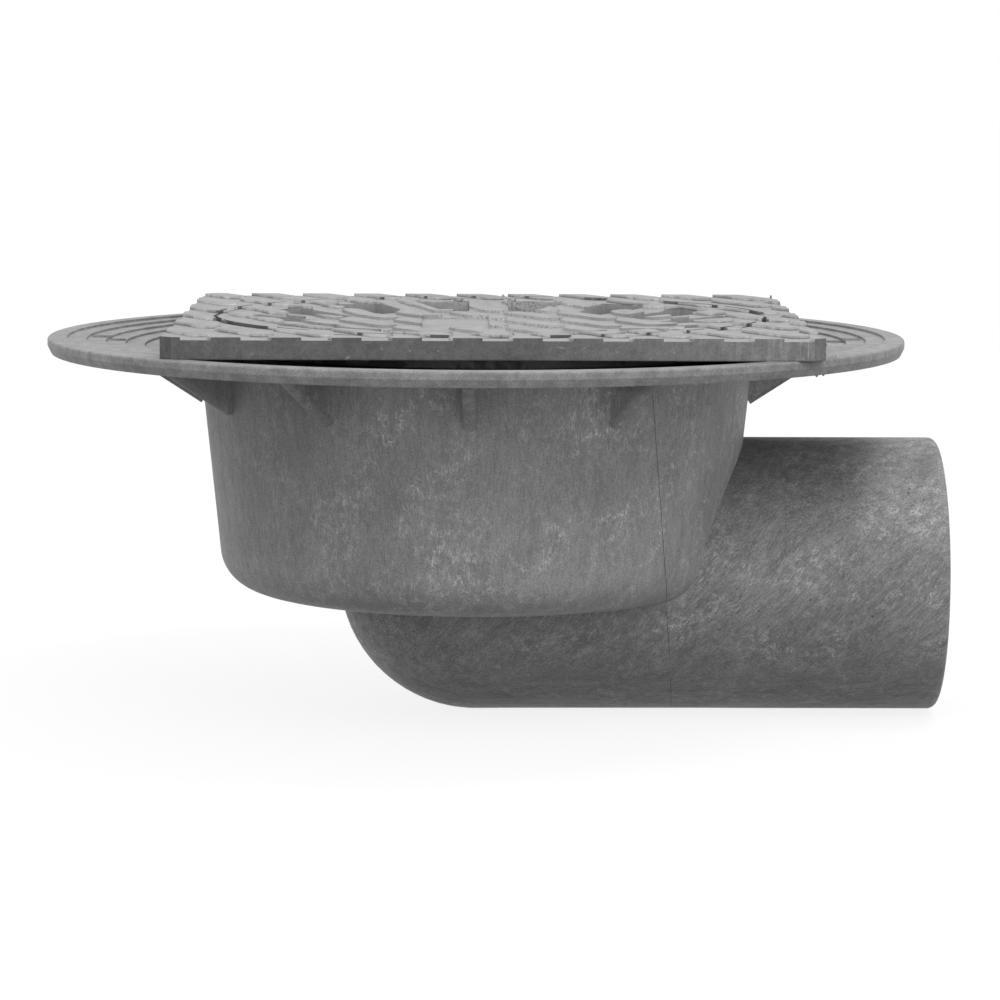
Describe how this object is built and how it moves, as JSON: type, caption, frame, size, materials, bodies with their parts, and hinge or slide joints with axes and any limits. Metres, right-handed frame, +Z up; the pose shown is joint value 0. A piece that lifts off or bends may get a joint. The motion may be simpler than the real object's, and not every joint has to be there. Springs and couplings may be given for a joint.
{
  "type": "gully trap",
  "caption": "Floor gully with a dished round flange, tapered tub, side outlet spigot, bell trap, square cover frame and slotted round grate.",
  "frame": {"origin": "centre of the round flange, in the plane of its rim's top, where the cover frame rests", "axes": "+X along the outlet, pointing out of the spigot; +Z up; +Y to the left when looking along the outlet"},
  "size_m": [0.3574, 0.3428, 0.1598],
  "materials": {
    "body_plastic": "recycled moulding with pale flow streaks",
    "frame_plastic": "matt moulding with fine specks",
    "grate_plastic": "matt moulding with fine specks",
    "bell_plastic": "matt moulding"
  },
  "bodies": {
    "root": {"gully_body": "body_plastic", "cover_frame": "frame_plastic", "round_grate": "grate_plastic", "trap_bell": "bell_plastic"}
  },
  "joints": []
}
